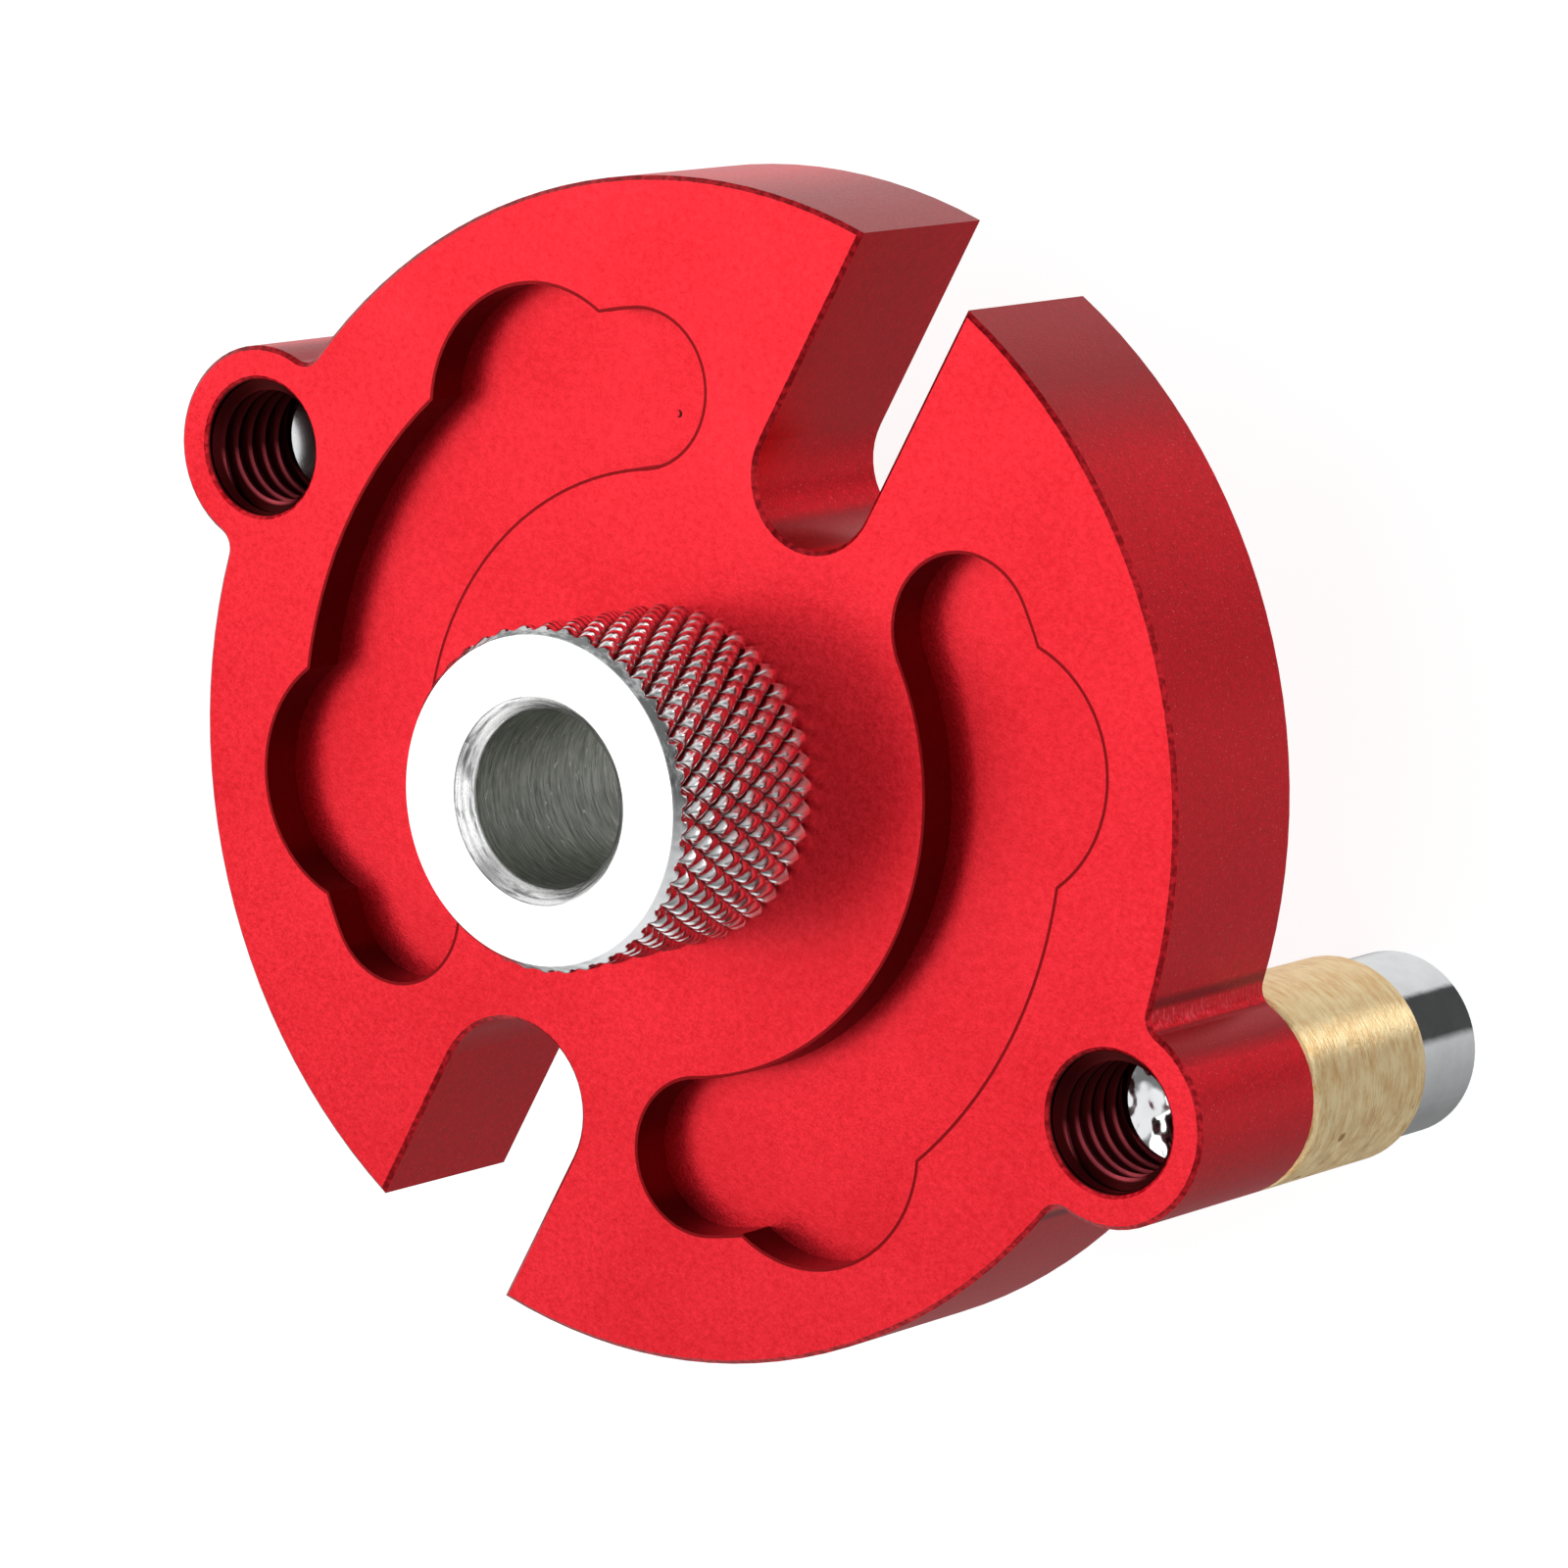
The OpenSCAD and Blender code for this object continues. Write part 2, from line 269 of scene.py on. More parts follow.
class Shader:
    """A node tree of a material or world, with short calls for adding and linking nodes."""

    def __init__(self, name, tree=None):
        if tree is None:
            self.material = bpy.data.materials.new(name)
            self.material.use_nodes = True
            tree = self.material.node_tree
        self.tree = tree
        self.tree.nodes.clear()

    def add(self, kind, inputs=None, **settings):
        node = self.tree.nodes.new("ShaderNode" + kind)
        for key, value in settings.items():
            setattr(node, key, value)
        for key, value in (inputs or {}).items():
            self.put(value, node.inputs[key])
        return node

    def put(self, value, socket):
        """Links an output socket, or sets a plain value."""
        if isinstance(value, bpy.types.NodeSocket):
            self.tree.links.new(value, socket)
        else:
            socket.default_value = value

    def math(self, operation, a, b=0.0):
        return self.add("Math", {0: a, 1: b}, operation=operation).outputs[0]

    def plus(self, a, b):
        return self.math("ADD", a, b)

    def minus(self, a, b):
        return self.math("SUBTRACT", a, b)

    def times(self, a, b):
        return self.math("MULTIPLY", a, b)

    def over(self, a, b):
        return self.math("DIVIDE", a, b)

    def above(self, a, b):
        """1 where a is above b, and 0 elsewhere."""
        return self.math("GREATER_THAN", a, b)

    def size_of(self, a):
        return self.math("ABSOLUTE", a)

    def split(self, vector):
        """X, Y and Z of a vector."""
        return tuple(self.add("SeparateXYZ", {0: vector}).outputs)

    def distance(self, a, b):
        return self.add("VectorMath", {0: a, 1: b}, operation="DISTANCE").outputs["Value"]

    def ramp(self, value, stops):
        """Colour ramp: stops is a list of (position, grey or colour)."""
        node = self.add("ValToRGB", {"Fac": value})
        elements = node.color_ramp.elements
        while len(elements) < len(stops):
            elements.new(0.5)
        for element, (position, colour) in zip(elements, stops):
            element.position = position
            element.color = opaque(colour)
        return node.outputs["Color"]

    def ramp_mm(self, length, stops, span=RAMP_SPAN):
        """Colour ramp over a length from 0 to the span, with its positions in mm."""
        stops = [(mm * MM / span, colour) for mm, colour in stops]
        return self.ramp(self.over(length, span), stops)

    def noise(self, vector, scale, detail=2.0, roughness=0.5):
        inputs = {"Vector": vector, "Scale": scale, "Detail": detail, "Roughness": roughness}
        return self.add("TexNoise", inputs).outputs["Fac"]

    def mix_colour(self, factor, a, b):
        node = self.add("Mix", data_type="RGBA")
        self.put(factor, node.inputs[0])
        self.put(opaque(a), node.inputs[6])
        self.put(opaque(b), node.inputs[7])
        return node.outputs[2]

    def bump(self, height, distance, strength=1.0, normal=None):
        inputs = {"Height": height, "Distance": distance, "Strength": strength}
        if normal is not None:
            inputs["Normal"] = normal
        return self.add("Bump", inputs).outputs["Normal"]

    def object_coordinates(self):
        return self.add("TexCoord").outputs["Object"]

    def turned_coordinates(self, axis_x=0.0, angle_scale=0.002):
        """Coordinates (radius, angle, z) round an axis along Z at x = axis_x or -axis_x.

        A radian counts as angle_scale metres, so a noise over them has long lines round the axis.
        """
        x, y, z = self.split(self.object_coordinates())
        if axis_x:
            x = self.minus(self.size_of(x), axis_x)
        radius = self.math("SQRT", self.plus(self.times(x, x), self.times(y, y)))
        angle = self.times(self.math("ARCTAN2", y, x), angle_scale)
        return self.add("CombineXYZ", {0: radius, 1: angle, 2: z}).outputs[0]

    def finish(self, shader):
        output = self.add("OutputMaterial")
        self.tree.links.new(shader, output.inputs["Surface"])
        return self.material

    def finish_metal(self, colour, roughness, normal, inputs=None):
        """Ends the tree with a metal, whose further inputs may be given."""
        shader = self.add("BsdfPrincipled", {
            "Base Color": colour, "Metallic": 1.0, "Roughness": roughness, "Normal": normal,
            **(inputs or {}),
        })
        return self.finish(shader.outputs[0])


# Materials

def pocket_distance(s, place):
    """Signed distance to the nearest pocket's outline, in metres, below 0 inside it."""
    x, y, _ = s.split(s.add("VectorMath", {0: place}, operation="ABSOLUTE").outputs[0])
    spot = s.add("CombineXYZ", {0: x, 1: y}).outputs[0]
    radius = s.add("VectorMath", {0: spot}, operation="LENGTH").outputs["Value"]

    def to_circle(angle, r):
        centre = (POCKET_MID_R * math.cos(angle), POCKET_MID_R * math.sin(angle), 0.0)
        return s.minus(s.distance(spot, centre), r)

    across_end = (-math.sin(POCKET_END_ANGLE), math.cos(POCKET_END_ANGLE), 0.0)
    past_end = s.add("VectorMath", {0: spot, 1: across_end}, operation="DOT_PRODUCT")
    off_middle = s.size_of(s.minus(radius, POCKET_MID_R))
    channel = s.math("MAXIMUM", s.minus(off_middle, POCKET_W / 2), past_end.outputs["Value"])
    inside_inner = s.minus(POCKET_MID_R - POCKET_W / 2, radius)
    lobe = s.math("MAXIMUM", to_circle(LOBE_ANGLE, LOBE_R), inside_inner)
    end = to_circle(POCKET_END_ANGLE, POCKET_W / 2)
    return s.math("MINIMUM", s.math("MINIMUM", channel, lobe), end)


def blasted_reds(s, place, grain, facing, on_wall):
    """Mottled colour of the faces and walls. Walls have painted glints, and painted shade towards
    +Y.
    """
    cloud = s.noise(place, CLOUD)
    mottle = s.noise(place, MOTTLE)
    amount = s.plus(s.times(grain, 0.55), s.times(cloud, 0.25))
    amount = s.plus(amount, s.times(mottle, 0.35))
    amount = s.ramp(amount, [(0.43, 0.0), (0.73, 1.0)])
    faces = s.mix_colour(amount, *FACE_REDS)
    walls = s.mix_colour(amount, *WALL_REDS)
    # Painted glints: sparse bright specks on the walls
    wall_glints = s.ramp(s.noise(place, SPECK, detail=1.0), [(0.68, 0.0), (0.73, 0.5)])
    walls = s.mix_colour(wall_glints, walls, WALL_GLINT)
    # Painted shade on walls that face +Y
    shade_towards_y = s.ramp(facing[1], [(0.90, 0.0), (0.96, 0.6)])
    walls = s.mix_colour(shade_towards_y, walls, WALL_SHADE_TOWARDS_Y)
    return s.mix_colour(on_wall, faces, walls)


def with_pockets(s, colour, place, on_wall):
    """Adds painted shade in a line round each pocket and on its walls, and the nick on one's floor.
    """
    to_pocket = pocket_distance(s, place)
    height = s.split(place)[2]
    # A ramp starts at 0, so the signed distance is moved up by half the span
    raised = s.plus(to_pocket, SHORT_SPAN / 2)
    # Painted shade in a thin line along each pocket's edge
    edge_shade = s.ramp_mm(raised, [(0.48, 0.0), (0.50, 1.0), (0.66, 1.0), (0.72, 0.0)], SHORT_SPAN)
    edge_shade = s.times(edge_shade, s.above(height, PLATE_TOP - 0.02 * MM))
    colour = s.mix_colour(edge_shade, colour, POCKET_EDGE_SHADE)
    # Painted shade, nearly black, on the pockets' walls
    shaded_pocket_wall = s.times(on_wall, s.math("LESS_THAN", s.size_of(to_pocket), 0.06 * MM))
    colour = s.mix_colour(s.times(shaded_pocket_wall, 0.88), colour, POCKET_WALL_SHADE)

    in_disc = s.ramp_mm(s.distance(place, NICK), [(0.21, 1.0), (0.24, 0.0)], SHORT_SPAN)
    off_inner = s.ramp_mm(s.distance(place, NICK_INNER), [(0.16, 0.0), (0.19, 1.0)], SHORT_SPAN)
    return s.mix_colour(s.times(in_disc, off_inner), colour, NICK_RED)


def anodised_red():
    """Bead-blasted, red anodised aluminium: a satin metal with a fine bright and dark speckle.

    The bevels carry a patchy painted shade, and the walls of the pockets the darkest painted
    shade. The walls of the tapped lug holes are smooth and carry painted shade, with painted
    highlights on their crests. The blend beside each lug keeps the milling cutter's chatter
    marks, which carry painted highlights.
    """
    s = Shader("anodised_red")
    place = s.object_coordinates()
    _, y, height = s.split(place)
    facing = s.split(s.add("NewGeometry").outputs["Normal"])
    tilt = s.size_of(facing[2])
    on_wall = s.ramp(tilt, [(0.3, 1.0), (0.7, 0.0)])
    post_radius = s.split(s.turned_coordinates(POST_X))[0]
    grain = s.noise(place, GRAIN, detail=3.0, roughness=0.6)
    colour = blasted_reds(s, place, grain, facing, on_wall)

    # Patchy painted shade along the bevels
    on_bevel = s.ramp(tilt, [(0.58, 0.0), (0.66, 1.0), (0.76, 1.0), (0.86, 0.0)])
    bevel_shade_patches = s.ramp(s.noise(place, SHADE_PATCHES, detail=3.0), [(0.40, 0.9), (0.60, 0.5)])
    colour = s.mix_colour(s.times(on_bevel, bevel_shade_patches), colour, BEVEL_SHADE)
    colour = with_pockets(s, colour, place, on_wall)

    # Cutter's marks in the fillet beside each lug, which fade away from the face and carry
    # painted highlights, and painted shade in the crease where the fillet ends
    in_fillet = s.ramp_mm(post_radius, [(6.05, 0.0), (6.2, 1.0), (6.8, 1.0), (7.1, 0.0)])
    in_fillet = s.times(on_wall, in_fillet)
    stretch = s.add("VectorMath", {0: place, 1: (0.35, 0.35, 1.0)}, operation="MULTIPLY")
    chatter = s.noise(stretch.outputs[0], CHATTER, detail=1.0)
    upper = s.ramp(s.over(height, PLATE_TOP), [(0.3, 0.25), (0.75, 1.0)])
    mark_highlights = s.times(s.times(in_fillet, upper), s.ramp(chatter, [(0.54, 0.0), (0.64, 0.7)]))
    colour = s.mix_colour(mark_highlights, colour, CUTTER_MARK_HIGHLIGHT)
    # Painted shade in the crease where the fillet ends
    crease_shade = s.ramp_mm(post_radius, [(6.9, 0.0), (7.2, 0.6), (7.5, 0.6), (7.9, 0.0)])
    colour = s.mix_colour(s.times(on_wall, crease_shade), colour, FILLET_CREASE_SHADE)

    # Lug holes: painted shade, also in their grazing reflections, with painted highlights on the
    # crests on the side towards -Y
    in_hole = s.ramp_mm(post_radius, [(4.02, 1.0), (4.08, 0.0)])
    # Painted highlights on the thread crests, only on the side towards -Y
    lit_crest = s.times(in_hole, s.ramp_mm(post_radius, [(3.44, 1.0), (3.56, 0.0)]))
    highlight_side = s.ramp_mm(s.minus(0.0, y), [(1.9, 0.02), (3.2, 1.0)])
    lit_crest = s.times(lit_crest, highlight_side)
    colour = s.mix_colour(in_hole, colour, HOLE_SHADE)
    glance = s.mix_colour(s.minus(in_hole, lit_crest), WHITE, HOLE_GLANCE)
    colour = s.mix_colour(s.times(lit_crest, 0.7), colour, CREST_HIGHLIGHT)
    roughness = s.mix_colour(in_hole, s.ramp(grain, [(0.25, 0.30), (0.75, 0.44)]), 0.28)

    normal = s.bump(grain, 0.016 * MM, 0.9)
    normal = s.bump(s.times(chatter, in_fillet), 0.06 * MM, 0.9, normal)
    # The chamfer at a hole's mouth is nearly worn flat, so it is turned towards the face
    at_mouth = s.ramp_mm(post_radius, [(4.02, 0.0), (4.08, 0.8), (4.3, 0.8), (4.4, 0.0)])
    in_front = s.above(height, PLATE_TOP - 0.6 * MM)
    normal = s.mix_colour(s.times(at_mouth, in_front), normal, (0.0, 0.0, 1.0))
    return s.finish_metal(colour, roughness, normal, {
        "Specular Tint": glance, "Coat Weight": 0.12, "Coat Roughness": 0.25, "Coat IOR": 1.5,
    })


def polished_steel():
    """Polished steel of the posts, with faint smears; the stud ends in the lugs are dished.

    The right stud's end is also torn by the cutting tool, as the photo shows.
    """
    s = Shader("post_steel")
    turned = s.turned_coordinates(POST_X)
    place = s.object_coordinates()
    x, _, height = s.split(place)
    radius = s.split(turned)[0]
    lines = s.noise(turned, POST_LINES, detail=3.0, roughness=0.7)
    smears = s.noise(place, SMEAR, detail=3.0, roughness=0.6)
    colour = s.ramp(smears, [(0.3, POST_STEELS[0]), (0.7, POST_STEELS[1])])
    roughness = s.ramp(lines, [(0.3, 0.05), (0.7, 0.10)])
    normal = s.bump(lines, 0.0015 * MM, 0.6)
    normal = s.bump(smears, 0.04 * MM, 0.4, normal)

    on_stud_end = s.above(height, STUD_TOP - 0.75 * MM)
    dish = s.times(s.times(radius, radius), DISH_SLOPE / (2 * LUG_HOLE_R))
    torn = s.times(s.noise(place, TORN), TORN_DEPTH)
    dish = s.plus(dish, s.times(torn, s.above(x, 0.0)))
    normal = s.mix_colour(on_stud_end, normal, s.bump(dish, 1.0))
    return s.finish_metal(colour, roughness, normal)


def bush_steel():
    """Turned steel of the bush: bright outside, dull with tool marks and scratches in the bore.

    The cone round the free face is smeared, and the knurl's grooves carry painted shade.
    """
    s = Shader("bush_steel")
    turned = s.turned_coordinates(angle_scale=0.0005)
    place = s.object_coordinates()
    _, y, height = s.split(place)
    radius = s.split(turned)[0]
    inside = s.ramp_mm(radius, [(5.00, 1.0), (5.06, 0.0)])
    mouth = s.ramp_mm(radius, [(5.00, 0.0), (5.06, 1.0), (5.83, 1.0), (5.89, 0.0)])
    lines = s.noise(turned, BUSH_LINES, detail=4.0, roughness=0.7)
    smears = s.noise(place, SMEAR, detail=3.0, roughness=0.6)

    # Bore: tool marks and a few bright scratches
    bore = s.mix_colour(s.ramp(lines, [(0.36, 0.0), (0.62, 1.0)]), *BORE_STEELS)
    scratch = s.noise(turned, SCRATCHES, detail=1.0, roughness=0.3)
    scratch = s.ramp(scratch, [(0.610, 0.0), (0.616, 1.0), (0.622, 1.0), (0.628, 0.0)])
    bore = s.mix_colour(scratch, bore, SCRATCH)

    # Countersink: turned rings with dark marks
    rings = s.ramp_mm(radius, MOUTH_RINGS)
    ring_marks = s.noise(s.turned_coordinates(angle_scale=0.0008), RING_MARKS, detail=3.0)
    rings = s.mix_colour(s.ramp(ring_marks, [(0.36, 0.8), (0.45, 0.0)]), rings, 0.20)

    # Outside: the cone is darker, with dark streaks on its side towards +Y
    outside = s.ramp(smears, [(0.3, BUSH_STEELS[0]), (0.7, BUSH_STEELS[1])])
    below_face = s.minus(BUSH_TOP, height)
    on_cone = s.ramp_mm(below_face, [(0.02, 0.0), (0.06, 1.0), (0.9, 1.0), (1.1, 0.0)])
    on_cone = s.times(on_cone, s.above(radius, 9.0 * MM))
    round_cone = s.turned_coordinates(angle_scale=0.004)
    streaks = s.noise(round_cone, STREAKS, detail=4.0, roughness=0.7)
    streaked = s.ramp(streaks, [(0.42, 0.0), (0.54, 1.0)])
    far_side = s.ramp_mm(y, [(5.0, 0.0), (6.5, 1.0)])
    cone = s.mix_colour(s.times(streaked, far_side), outside, CONE_STREAK)
    cone = s.mix_colour(0.3, cone, 0.15)
    outside = s.mix_colour(on_cone, outside, cone)
    # Painted shade in the knurl's grooves, darker where they are deeper
    groove = s.add("Attribute", attribute_name="groove").outputs["Fac"]
    shaded_groove = s.ramp(groove, [(0.48, 0.0), (0.90, 1.0)])
    outside = s.mix_colour(shaded_groove, outside, GROOVE_SHADE)

    colour = s.mix_colour(inside, s.mix_colour(mouth, outside, rings), bore)
    roughness = s.mix_colour(inside, s.ramp(lines, [(0.3, 0.10), (0.7, 0.20)]), 0.40)
    roughness = s.mix_colour(mouth, roughness, s.ramp(lines, [(0.35, 0.14), (0.65, 0.34)]))
    depth = s.plus(s.times(inside, 1.6), s.times(mouth, 1.2))
    normal = s.bump(s.times(lines, s.plus(depth, 0.3)), 0.02 * MM, 0.8)
    normal = s.bump(smears, 0.03 * MM, 0.3, normal)
    return s.finish_metal(colour, roughness, normal)


def turned_brass():
    """Satin brass with broken turning lines, mottled tarnish and a few dark pits."""
    s = Shader("roller_brass")
    fine_turned = s.turned_coordinates(POST_X, angle_scale=0.0008)
    coarse_turned = s.turned_coordinates(POST_X, angle_scale=0.0010)
    fine = s.noise(fine_turned, FINE_LINES, detail=3.0, roughness=0.7)
    coarse = s.noise(coarse_turned, COARSE_LINES, detail=3.0, roughness=0.65)
    place = s.object_coordinates()
    mottle = s.noise(place, TARNISH, detail=4.0, roughness=0.65)
    lines = s.plus(s.times(fine, 0.5), s.times(coarse, 0.5))
    tint = s.plus(s.times(lines, 0.7), s.times(mottle, 0.4))
    colour = s.mix_colour(s.ramp(tint, [(0.42, 0.0), (0.62, 1.0)]), *BRASSES)
    pits = s.ramp(s.noise(place, PITS), [(0.25, 1.0), (0.27, 0.0)])
    for spot, r in ROLLER_PITS:
        away = s.plus(s.over(s.distance(place, spot), r), s.times(mottle, 0.8))
        pit = s.ramp(s.over(away, 4.0), [(0.25, 1.0), (0.34, 0.0)])
        pits = s.math("MAXIMUM", pits, pit)
    colour = s.mix_colour(pits, colour, BRASS_PIT)
    roughness = s.ramp(mottle, [(0.3, 0.29), (0.7, 0.40)])
    normal = s.bump(lines, 0.16 * MM, 0.9)
    normal = s.bump(pits, 0.04 * MM, -0.6, normal)
    round_axis = s.add("Tangent", direction_type="RADIAL", axis="Z").outputs[0]
    return s.finish_metal(colour, roughness, normal, {
        "Tangent": round_axis, "Anisotropic": 0.85, "Anisotropic Rotation": 0.25,
    })


def dress(node, material):
    """Gives a CAD node, which is shown as it is, its material."""
    mesh = NODES[node].data
    mesh.materials.clear()
    mesh.materials.append(material)


# Mesh building

def make_piece(name, points, faces, body, material, slot, sharp_from):
    """Piece of a body, smooth but for the edges from that angle in degrees up."""
    mesh = bpy.data.meshes.new(name)
    mesh.from_pydata(points, [], faces)
    mesh.validate()
    mesh.shade_smooth()
    mesh.set_sharp_from_angle(angle=math.radians(sharp_from))
    mesh.materials.append(material)
    piece = bpy.data.objects.new(name, mesh)
    bpy.context.scene.collection.objects.link(piece)
    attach(piece, body)
    return piece


def on_circle(r, turn, z):
    angle = 2 * math.pi * turn
    return (r * math.cos(angle), r * math.sin(angle), z)


def spaced(a, b, steps):
    """Values from a to b in that many steps, both ends included."""
    return [a + (b - a) * k / steps for k in range(steps + 1)]


def wave(x):
    """0 at even numbers and 1 at odd ones, straight in between."""
    return 1 - abs(x % 2 - 1)


def rounded_min(*values):
    """Smallest value, with the edges where two of them meet rounded off."""
    return -math.log(sum(math.exp(-ROUNDING * v) for v in values)) / ROUNDING


def knurl_height(j, k):
    """Height over the groove, from 0 to 1, at step j round the head and step k up it."""
    across, up = j / KNURL_STEPS, k / KNURL_STEPS
    deep = wave(across + up)
    shallow = SHALLOW_GROOVE + wave(across - up)
    return min(1.0, rounded_min(deep, shallow, TIP_HEIGHT) / TIP_HEIGHT)


def knurl_leans_left(j, k):
    """Whether the groove next to this cell of the knurl runs up to the left."""
    across, up = (j + 0.5) / KNURL_STEPS, (k + 0.5) / KNURL_STEPS
    return wave(across + up) < wave(across - up)


def cone_radius(z):
    """Radius of the cone round the free face, which cuts the knurl off."""
    return FACE_R + (KNURL_CREST_R - FACE_R) * (BUSH_TOP - z) / CONE_H


def knurled_rings():
    """Rings of the knurled head from the plate up to the edge of its free face."""
    knurl_top = BUSH_TOP - BAND_H
    row_step = (knurl_top - PLATE_TOP) / (KNURL_ROWS * KNURL_STEPS)
    steps = [float(k) for k in range(KNURL_ROWS * KNURL_STEPS + 1)]
    last = (BUSH_TOP - 0.02 * MM - PLATE_TOP) / row_step
    steps += spaced(steps[-1], last, BAND_RINGS)[1:]
    rings = []
    for k in steps:
        z = PLATE_TOP + row_step * k
        below_face = BUSH_TOP - z
        ring = []
        for j in range(SEGMENTS):
            spot = Vector(on_circle(KNURL_CREST_R, j / SEGMENTS, z))
            rough = noise.noise(spot / WEAR_PATCH)
            ragged = noise.noise(spot / RAG_PATCH)
            depth = KNURL_DEPTH * (1 + DEPTH_WEAR * rough)
            fade = min(1.0, max(LEAST_FADE, below_face / BAND_H + FADE_RAG * ragged))
            groove = depth * (1 - knurl_height(j, k)) * fade
            r = KNURL_CREST_R - groove - CREST_WEAR * (1 + rough)
            r = min(r, cone_radius(z) + min(CONE_RAG, 0.1 * below_face) * ragged)
            ring.append(on_circle(r, j / SEGMENTS, z))
        rings.append(ring)
    return rings


def drill_bush(material):
    """Whole bush but for its thread: bore, countersink, face, band, knurl, relief and core."""
    core_r = SHANK_R - OUTER_DEPTH * BUSH_PITCH
    relief_z = PLATE_TOP - RELIEF_H
    mouth_r = BORE_R + (BUSH_TOP - COUNTERSINK_Z)

    def plain(r, z):
        return [on_circle(r, j / SEGMENTS, z) for j in range(SEGMENTS)]

    # Rings run up the bore, over the face and down the outside. The small steps round edges.
    rings = [plain(BORE_R, z) for z in spaced(BORE_LEAD, COUNTERSINK_Z - 0.15 * MM, BORE_RINGS)]
    rings += [
        plain(BORE_R + 0.02 * MM, COUNTERSINK_Z - 0.04 * MM),
        plain(BORE_R + 0.08 * MM, COUNTERSINK_Z + 0.06 * MM),
        plain((BORE_R + mouth_r) / 2, (COUNTERSINK_Z + BUSH_TOP) / 2),
        plain(mouth_r - 0.03 * MM, BUSH_TOP - 0.05 * MM),
        plain(mouth_r + 0.04 * MM, BUSH_TOP),
    ]
    rings += [plain(r, BUSH_TOP) for r in spaced(mouth_r + 0.4 * MM, FACE_R, FACE_RINGS)]
    knurl = knurled_rings()
    last_knurl = len(rings) + len(knurl) - 1
    rings += knurl[::-1]
    rings += [
        plain(RELIEF_R, PLATE_TOP),
        plain(RELIEF_R, relief_z + 0.3 * MM),
        plain(core_r, relief_z - 0.2 * MM),
        plain(core_r, SHANK_LEAD),
        plain(core_r - 0.05 * MM, 0.0),
        plain(BORE_R + BORE_LEAD, 0.0),
    ]
    points = [p for ring in rings for p in ring]
    faces = []
    for k in range(len(rings)):
        following = (k + 1) % len(rings)
        row = last_knurl - k
        for j in range(SEGMENTS):
            right = (j + 1) % SEGMENTS
            a, b = k * SEGMENTS + j, k * SEGMENTS + right
            c, d = following * SEGMENTS + right, following * SEGMENTS + j
            # In the knurl the triangles' edges follow its grooves
            if not 0 < row < len(knurl):
                faces.append((a, d, c, b))
            elif knurl_leans_left(j, row - 1):
                faces += [(a, c, b), (a, d, c)]
            else:
                faces += [(a, d, b), (b, d, c)]
    piece = make_piece(
        "drill_bush_turned", points, faces, "bush", material, "bush_steel", BUSH_SHARP
    )
    # How deep each point lies in the knurl, for the painted shade in its grooves
    groove = piece.data.attributes.new("groove", "FLOAT", "POINT")
    for point, value in zip(points, groove.data):
        r = math.hypot(point[0], point[1])
        if PLATE_TOP < point[2] < BUSH_TOP - BAND_H and r > SHANK_R:
            value.value = min(1.0, (KNURL_CREST_R - r) / KNURL_DEPTH)
    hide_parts("drill_bush")


def helical_ridge(base_r, crest_r, crest_flat, z_low, z_high, pitch, start=0.0, centre_x=0.0):
    """Points and faces of a thread's closed ridge round x = centre_x, whose ends run out."""
    steps = round((z_high - z_low) / pitch * THREAD_STEPS)
    outward = 1 if crest_r > base_r else -1
    sunk_r = base_r - outward * SUNK
    half_tip = crest_flat / 2
    points, faces = [], []
    for k in range(steps + 1):
        turn = start + k / THREAD_STEPS
        z = z_low + pitch * k / THREAD_STEPS
        to_end = min(k, steps - k) / THREAD_STEPS
        rise = min(1.0, to_end / RUN_OUT + END_HEIGHT)
        tip_r = sunk_r + (crest_r - sunk_r) * rise
        half_base = half_tip + abs(tip_r - sunk_r) * THREAD_SLOPE
        section = [(sunk_r, -half_base), (tip_r, -half_tip), (tip_r, half_tip), (sunk_r, half_base)]
        for r, dz in section:
            x, y, _ = on_circle(r, turn, 0)
            points.append((centre_x + x, y, z + dz))
        if k:
            a = 4 * (k - 1)
            for i in range(4):
                n = (i + 1) % 4
                quad = (a + i, a + n, a + 4 + n, a + 4 + i)
                faces.append(quad if outward > 0 else quad[::-1])
    first, last = (0, 1, 2, 3), tuple(4 * steps + i for i in (3, 2, 1, 0))
    faces += [first[::-1], last[::-1]] if outward > 0 else [first, last]
    return points, faces


def bush_thread(material):
    core_r = SHANK_R - OUTER_DEPTH * BUSH_PITCH
    ridge = helical_ridge(core_r, SHANK_R, BUSH_PITCH / 8, *BUSH_THREAD_Z, BUSH_PITCH)
    make_piece("bush_thread", *ridge, "bush", material, "bush_steel", THREAD_SHARP)


def plate_thread(material):
    """Thread in the plate's centre hole, half a pitch away from the bush's own ridge."""
    crest_r = BUSH_HOLE_R - INNER_DEPTH * BUSH_PITCH
    ridge = helical_ridge(BUSH_HOLE_R, crest_r, BUSH_PITCH / 4, *PLATE_THREAD_Z, BUSH_PITCH)
    make_piece("plate_thread", *ridge, "jig", material, "anodised_red", THREAD_SHARP)


def lug_thread(name, centre_x, material):
    """Thread in a lug's hole, from just under the stud's end to just under the face."""
    crest_r = LUG_HOLE_R - INNER_DEPTH * LUG_PITCH
    ridge = helical_ridge(
        LUG_HOLE_R, crest_r, LUG_PITCH / 5, *LUG_THREAD_Z, LUG_PITCH, LUG_THREAD_START, centre_x
    )
    make_piece(name, *ridge, "jig", material, "anodised_red", THREAD_SHARP)


# Studio

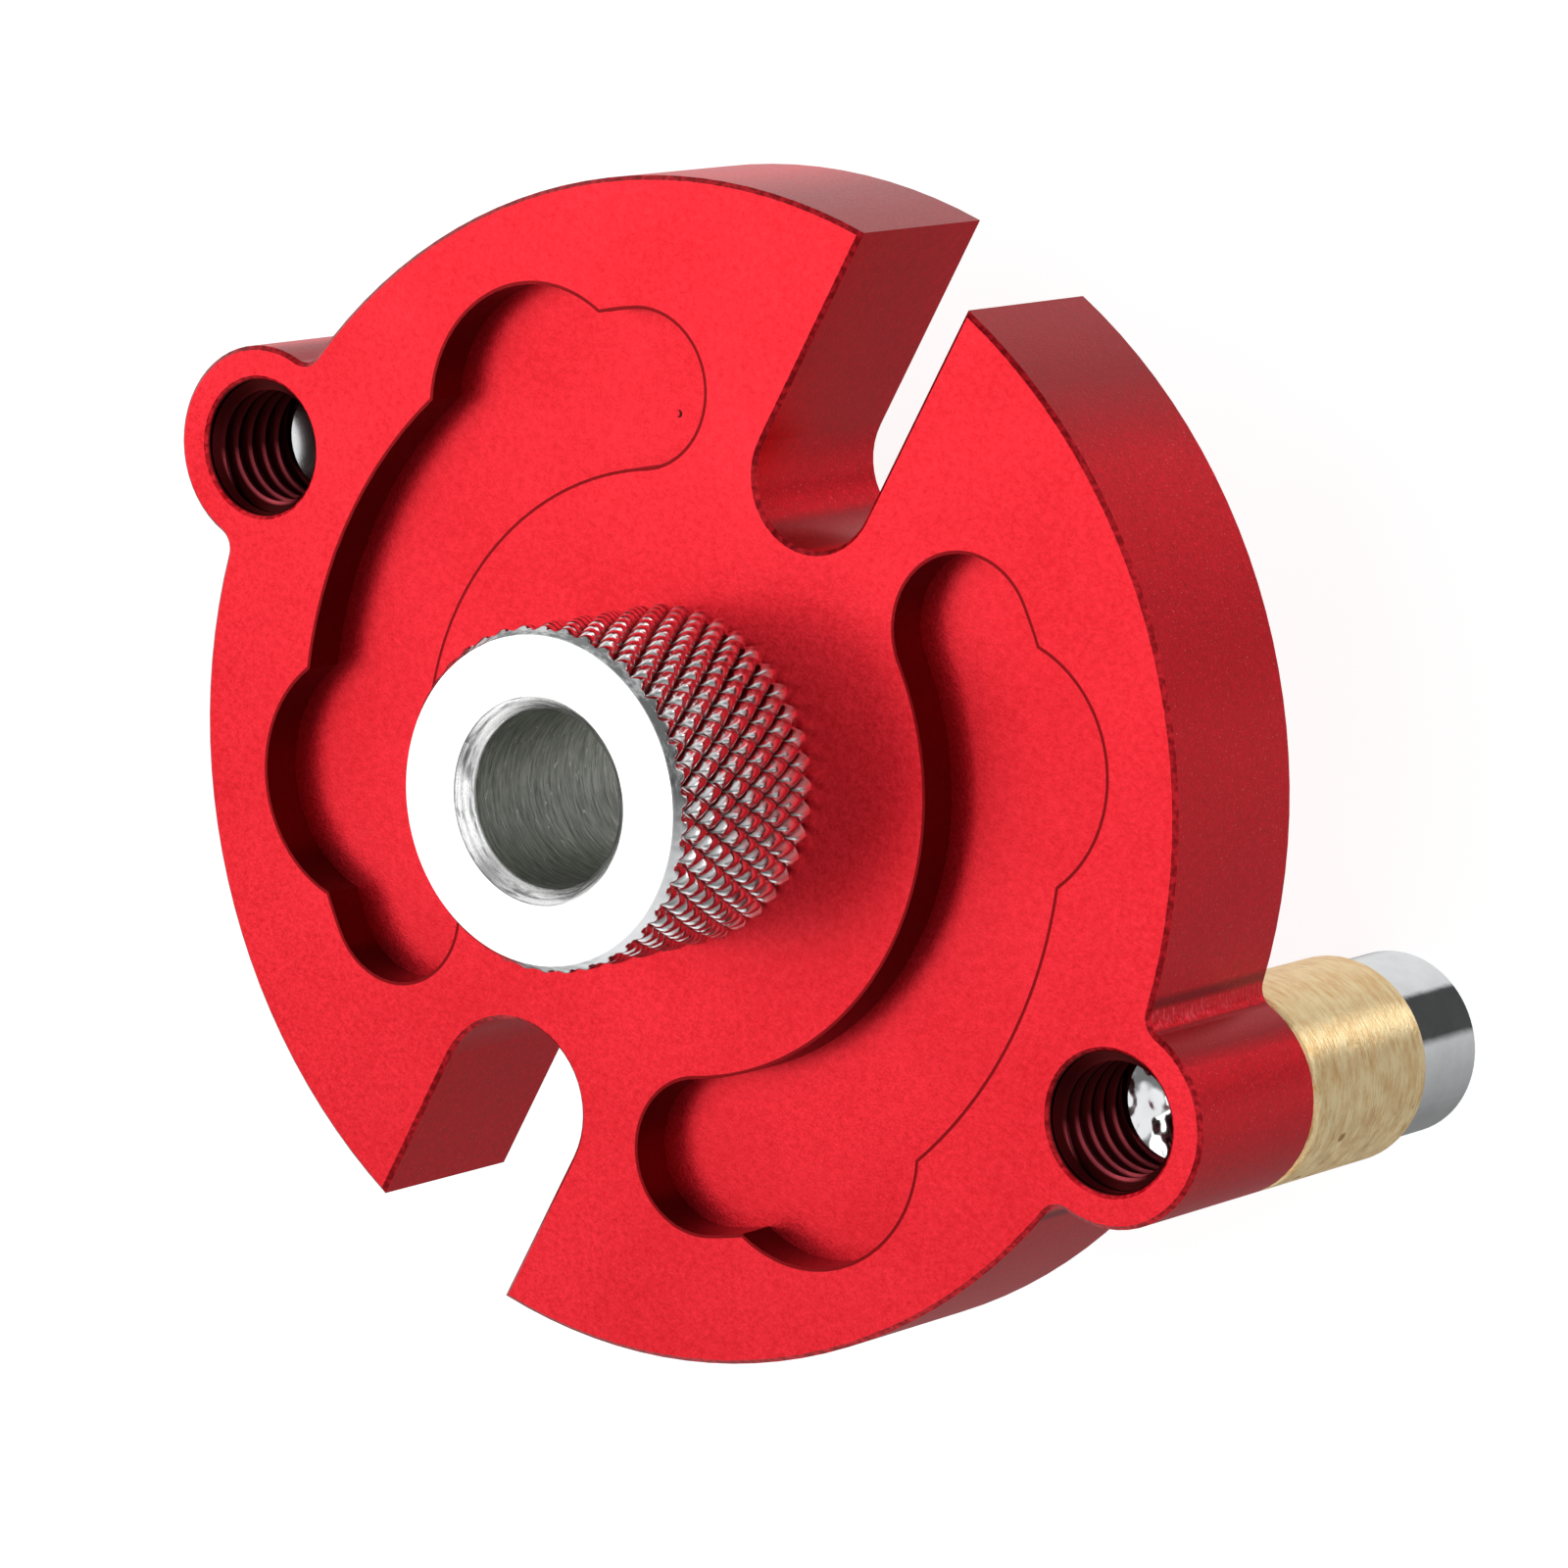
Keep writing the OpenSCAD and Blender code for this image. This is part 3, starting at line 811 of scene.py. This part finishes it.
def floor_material():
    """Plain floor that glows where it is seen, whatever the lamp, and keeps the jig's shadow."""
    s = Shader("studio_floor")
    path = s.add("LightPath")
    seen = s.math("MAXIMUM", path.outputs["Is Camera Ray"], path.outputs["Is Transmission Ray"])
    seen = s.math("MAXIMUM", seen, path.outputs["Is Glossy Ray"])
    diffuse = s.add("BsdfDiffuse", {"Color": opaque(FLOOR_COLOUR)})
    glow = s.add("Emission", {"Color": opaque(WHITE), "Strength": s.times(seen, FLOOR_GLOW)})
    both = s.add("AddShader", {0: diffuse.outputs[0], 1: glow.outputs[0]})
    return s.finish(both.outputs[0])


def make_floor():
    corners = [
        (x * FLOOR_HALF, y * FLOOR_HALF, FLOOR_Z) for x, y in ((-1, -1), (1, -1), (1, 1), (-1, 1))
    ]
    mesh = bpy.data.meshes.new("studio_floor")
    mesh.from_pydata(corners, [], [(0, 1, 2, 3)])
    mesh.materials.append(floor_material())
    floor = bpy.data.objects.new("studio_floor", mesh)
    bpy.context.scene.collection.objects.link(floor)
    # The jig mirrors the low ring of the studio in its place, and is lit by it from below
    floor.visible_glossy = False
    floor.visible_shadow = False


def make_lamp(name, azimuth, elevation, distance, side, radiance):
    """Soft box at that azimuth from +X and elevation, in degrees, facing the plate's middle."""
    data = bpy.data.lights.new(name, "AREA")
    data.shape = "RECTANGLE"
    data.size = data.size_y = side
    data.energy = radiance * math.pi * side * side
    lamp = bpy.data.objects.new(name, data)
    a, e = math.radians(azimuth), math.radians(elevation)
    aim = Vector((math.cos(a) * math.cos(e), math.sin(a) * math.cos(e), math.sin(e)))
    lamp.location = aim * distance + Vector((0, 0, PLATE_TOP / 2))
    lamp.rotation_euler = aim.to_track_quat("Z", "Y").to_euler()
    lamp.visible_camera = False
    bpy.context.scene.collection.objects.link(lamp)


def make_world():
    """World that is white to the camera, and a soft studio of cards and flags to all else."""
    world = bpy.data.worlds.new("studio_world")
    bpy.context.scene.world = world
    world.use_nodes = True
    s = Shader("studio_world", world.node_tree)
    path = s.add("LightPath")
    plain = s.add("Background", {"Color": opaque(WHITE), "Strength": 1.0})
    x, y, z = s.split(s.add("TexCoord").outputs["Generated"])
    turn = s.plus(s.over(s.math("ARCTAN2", y, x), 2 * math.pi), 0.5)
    height = s.plus(s.times(z, 0.5), 0.5)

    def by_azimuth(stops):
        return s.ramp(turn, [(0.5 + azimuth / 360, level) for azimuth, level in stops])

    def by_height(stops):
        return s.ramp(height, [(0.5 + z / 2, level) for z, level in stops])

    def rising(edges):
        return list(zip(edges, (0.0, 1.0)))

    def band(edges):
        return list(zip(edges, (0.0, 1.0, 1.0, 0.0)))

    low, high = by_azimuth(LOW_RING), by_azimuth(HIGH_RING)
    level = s.mix_colour(by_height(rising(LOW_TO_HIGH)), low, high)
    level = s.mix_colour(by_height(rising(HIGH_TO_TOP)), level, TOP_LEVEL)
    for azimuths, heights, value in (FLAG, STRIP, FACING, BACK):
        mask = s.times(by_azimuth(band(azimuths)), by_height(band(heights)))
        level = s.mix_colour(mask, level, value)
    level = s.mix_colour(by_height(rising(OVERHEAD[0])), level, OVERHEAD[1])
    soft = s.add("Background", {"Color": level, "Strength": 1.0})
    seen = path.outputs["Is Camera Ray"]
    choice = s.add("MixShader", {0: seen, 1: soft.outputs[0], 2: plain.outputs[0]})
    s.add("OutputWorld", {"Surface": choice.outputs[0]})


make_camera()
make_world()
make_floor()
make_lamp("key", **KEY_LAMP)

red = anodised_red()
bush_metal = bush_steel()
post_metal = polished_steel()
brass = turned_brass()

dress("jig_plate", red)
for side in ("left", "right"):
    dress(side + "_post", post_metal)
    dress(side + "_roller", brass)

drill_bush(bush_metal)
bush_thread(bush_metal)
plate_thread(red)
lug_thread("left_lug_thread", -POST_X, red)
lug_thread("right_lug_thread", POST_X, red)

bpy.context.scene.view_settings.view_transform = "Standard"
